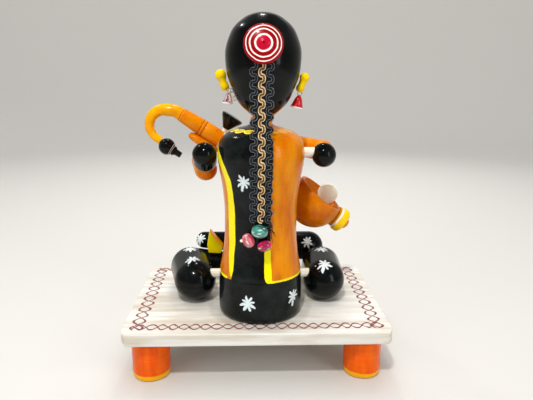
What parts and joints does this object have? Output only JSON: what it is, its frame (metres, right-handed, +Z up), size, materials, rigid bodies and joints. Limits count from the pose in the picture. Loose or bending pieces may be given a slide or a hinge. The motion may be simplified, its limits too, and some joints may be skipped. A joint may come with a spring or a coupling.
{
  "type": "wooden lady figurine",
  "caption": "Turned and lacquered wooden lady sitting cross-legged on a low stool and playing a veena, with a textile braid, beads and bell earrings.",
  "frame": {"origin": "on the floor under the middle of the stool", "axes": "+Z up, +Y the way the lady faces, +X to her right hand"},
  "size_m": [0.14, 0.0966, 0.1863],
  "materials": {
    "stool_wood": "satin, hand-drawn crimson border line",
    "leg_lacquer": "gloss lacquer",
    "black_lacquer": "gloss lacquer, painted flowers",
    "body_lacquer": "gloss lacquer, painted sari in orange and yellow",
    "orange_lacquer": "gloss lacquer",
    "yellow_lacquer": "gloss lacquer",
    "red_lacquer": "gloss lacquer, white turned rings",
    "raw_wood": "bare, sanded",
    "clear_plastic": "clear, polished",
    "gimp_trim": "woven braid",
    "green_glass": "polished",
    "pink_glass": "polished",
    "magenta_glass": "polished"
  },
  "bodies": {
    "root": {"stool_top": "stool_wood", "stool_leg_rear_left": "leg_lacquer", "stool_leg_rear_right": "leg_lacquer", "stool_leg_front_left": "leg_lacquer", "stool_leg_front_right": "leg_lacquer", "torso": "body_lacquer", "head": "body_lacquer", "hair_disc": "red_lacquer", "ear_left": "yellow_lacquer", "ear_right": "yellow_lacquer", "earring_left": "clear_plastic", "earring_right": "clear_plastic", "braid": "gimp_trim", "bead_green": "green_glass", "bead_pink": "pink_glass", "bead_magenta": "magenta_glass", "sleeve_left": "black_lacquer", "sleeve_right": "black_lacquer", "arm_peg_right": "raw_wood", "forearm_left": "orange_lacquer", "forearm_right": "orange_lacquer", "hand_left": "orange_lacquer", "hand_right": "orange_lacquer", "hip_peg_left": "raw_wood", "hip_peg_right": "raw_wood", "thigh_left": "black_lacquer", "thigh_right": "black_lacquer", "shin_left": "black_lacquer", "shin_right": "black_lacquer", "foot_left": "yellow_lacquer", "foot_right": "yellow_lacquer", "veena_hook": "orange_lacquer", "veena_finial": "black_lacquer", "veena_neck": "orange_lacquer", "veena_tuning_peg": "black_lacquer", "veena_bowl": "orange_lacquer", "veena_bridge": "raw_wood", "veena_tail_knob": "yellow_lacquer"}
  },
  "joints": []
}
